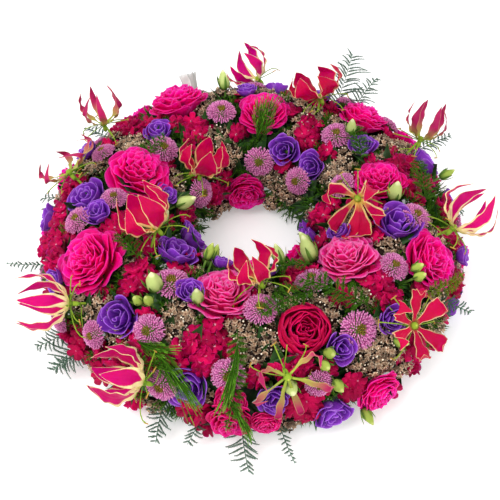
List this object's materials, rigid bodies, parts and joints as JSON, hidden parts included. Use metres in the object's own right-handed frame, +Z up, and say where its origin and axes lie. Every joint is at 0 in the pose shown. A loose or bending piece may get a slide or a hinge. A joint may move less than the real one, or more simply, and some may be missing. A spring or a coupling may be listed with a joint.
{
  "type": "funeral wreath",
  "caption": "Round funeral wreath: fresh flower heads and fern fronds pushed by their stems into a ring of wet floral foam in a shallow tray.",
  "frame": {"origin": "middle of the ring, on the surface that the tray rests on", "axes": "+Z up through the hole; +X to the right and -Y towards the viewer"},
  "size_m": [0.5481, 0.5681, 0.1774],
  "materials": {
    "tray": "dark green moulded plastic",
    "foam": "wet green floral foam",
    "rose": "soft ruffled hot pink petals",
    "lisianthus": "soft violet petals",
    "chrysanthemum": "mauve florets round an olive centre",
    "sedum": "beige starry florets on brown stalks",
    "dianthus": "magenta florets with a pale eye",
    "gloriosa": "crimson petals with yellow edges and bases",
    "frond": "feathery green asparagus fern"
  },
  "bodies": {
    "root": {"base_tray": "tray", "foam_ring": "foam", "rose_01": "rose", "rose_02": "rose", "rose_03": "rose", "rose_04": "rose", "rose_05": "rose", "rose_06": "rose", "rose_07": "rose", "rose_08": "rose", "rose_09": "rose", "rose_10": "rose", "rose_11": "rose", "rose_12": "rose", "rose_13": "rose", "lisianthus_01": "lisianthus", "lisianthus_02": "lisianthus", "lisianthus_03": "lisianthus", "lisianthus_04": "lisianthus", "lisianthus_05": "lisianthus", "lisianthus_06": "lisianthus", "lisianthus_07": "lisianthus", "lisianthus_08": "lisianthus", "lisianthus_09": "lisianthus", "lisianthus_10": "lisianthus", "lisianthus_11": "lisianthus", "chrysanthemum_01": "chrysanthemum", "chrysanthemum_02": "chrysanthemum", "chrysanthemum_03": "chrysanthemum", "chrysanthemum_04": "chrysanthemum", "chrysanthemum_05": "chrysanthemum", "chrysanthemum_06": "chrysanthemum", "chrysanthemum_07": "chrysanthemum", "sedum_01": "sedum", "sedum_02": "sedum", "sedum_03": "sedum", "sedum_04": "sedum", "dianthus_01": "dianthus", "dianthus_02": "dianthus", "dianthus_03": "dianthus", "dianthus_04": "dianthus", "gloriosa_01": "gloriosa", "gloriosa_02": "gloriosa", "gloriosa_03": "gloriosa", "gloriosa_04": "gloriosa", "gloriosa_05": "gloriosa", "gloriosa_06": "gloriosa", "gloriosa_07": "gloriosa", "gloriosa_08": "gloriosa", "gloriosa_09": "gloriosa", "gloriosa_10": "gloriosa", "gloriosa_11": "gloriosa", "gloriosa_12": "gloriosa", "gloriosa_13": "gloriosa", "gloriosa_14": "gloriosa", "fern_frond_01": "frond", "fern_frond_02": "frond", "fern_frond_03": "frond", "fern_frond_04": "frond", "fern_frond_05": "frond"}
  },
  "joints": []
}
